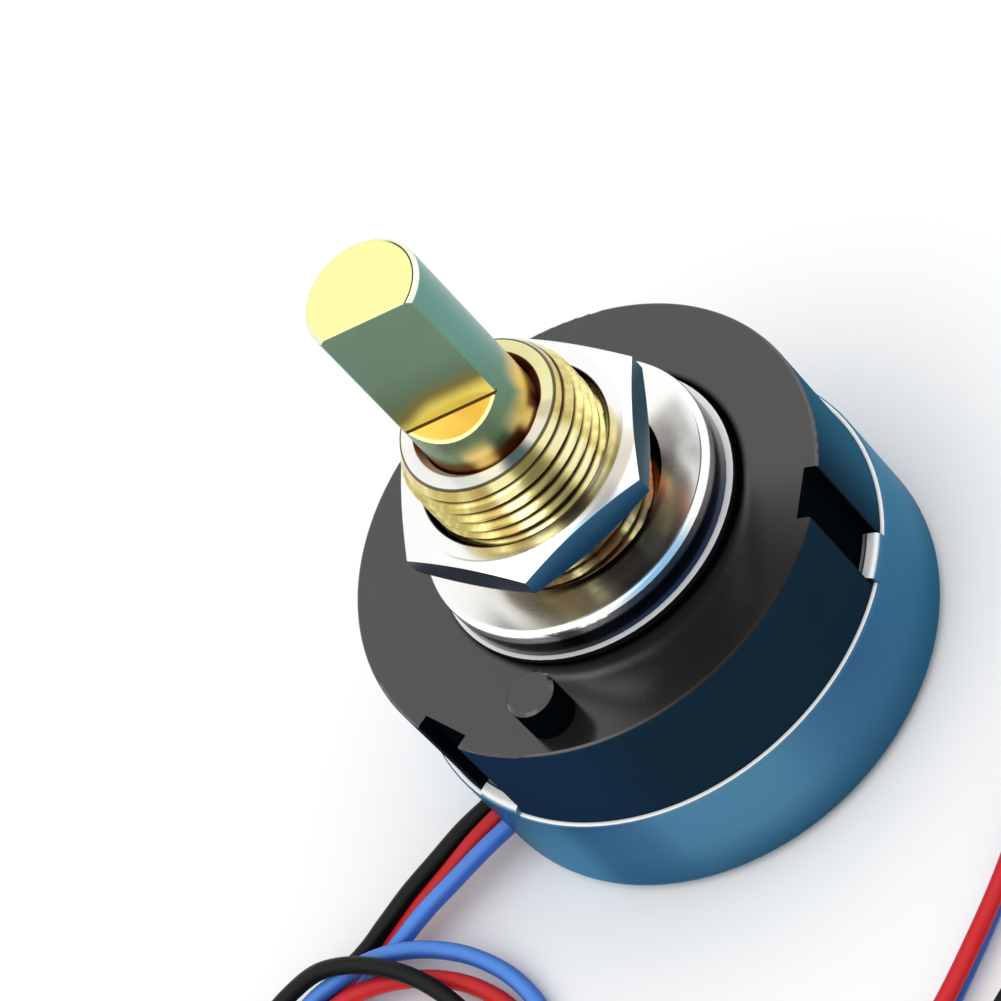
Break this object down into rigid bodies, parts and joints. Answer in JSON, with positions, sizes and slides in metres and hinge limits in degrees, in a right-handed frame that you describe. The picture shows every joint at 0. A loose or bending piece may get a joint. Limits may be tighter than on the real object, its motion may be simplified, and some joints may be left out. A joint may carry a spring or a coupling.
{
  "type": "hall effect potentiometer",
  "caption": "Panel-mount contactless rotary position sensor: D-shaft in a threaded brass bushing with nut and washers, round moulded housing crimped in a metal can, side leads.",
  "frame": {"origin": "middle of the can's flat back, which stands on the surface", "axes": "+Z along the shaft towards its tip; -X is where the leads leave the can; +Y completes the frame"},
  "size_m": [0.0529, 0.0437, 0.0347],
  "materials": {
    "housing_plastic": "matt moulded black",
    "can_metal": "bright drawn sheet with a blue-grey cast",
    "bushing_brass": "turned, bright",
    "shaft_brass": "turned, satin",
    "plated_steel": "bright zinc plating",
    "grommet_rubber": "matt",
    "spring_steel": "oiled",
    "thrust_plastic": "natural",
    "holder_plastic": "moulded",
    "magnet_nickel": "nickel plated",
    "board_laminate": "solder mask",
    "chip_epoxy": "moulded epoxy",
    "tinned_metal": "tinned",
    "capacitor_ceramic": "fired ceramic",
    "spacer_fibre": "insulating fibre",
    "black_insulation": "smooth",
    "red_insulation": "smooth",
    "blue_insulation": "smooth"
  },
  "bodies": {
    "housing": {"front_housing": "housing_plastic", "rear_can": "can_metal", "bushing": "bushing_brass", "thin_washer": "plated_steel", "circuit_board": "board_laminate", "hall_sensor": "chip_epoxy", "sensor_leads": "tinned_metal", "capacitors": "capacitor_ceramic", "board_spacer": "spacer_fibre", "wire_grommet": "grommet_rubber", "wire_cores": "tinned_metal", "solder_joints": "tinned_metal", "black_wire": "black_insulation", "red_wire": "red_insulation", "blue_wire": "blue_insulation", "wire_coil": "black_insulation", "tinned_ends": "tinned_metal"},
    "rotor": {"shaft": "shaft_brass", "retaining_ring": "spring_steel", "thrust_washer": "thrust_plastic", "magnet_holder": "holder_plastic", "magnet": "magnet_nickel"},
    "washer": {"flat_washer": "plated_steel"},
    "nut": {"hex_nut": "plated_steel"}
  },
  "joints": [
    {"name": "shaft_turn", "type": "hinge", "parent": "housing", "child": "rotor", "pos_m": [0, 0, 0.02], "axis": [0, 0, 1], "continuous": true},
    {"name": "nut_turn", "type": "hinge", "parent": "housing", "child": "washer", "pos_m": [0, 0, 0.0146], "axis": [0, 0, 1], "range_deg": [-1138, 1659]},
    {"name": "nut_travel", "type": "slide", "parent": "washer", "child": "nut", "axis": [0, 0, 1], "range_m": [-0.00251, 0.00366]}
  ],
  "couplings": [
    {"joint": "nut_travel", "follows": "nut_turn", "m_per_rad": 0.00012637}
  ]
}
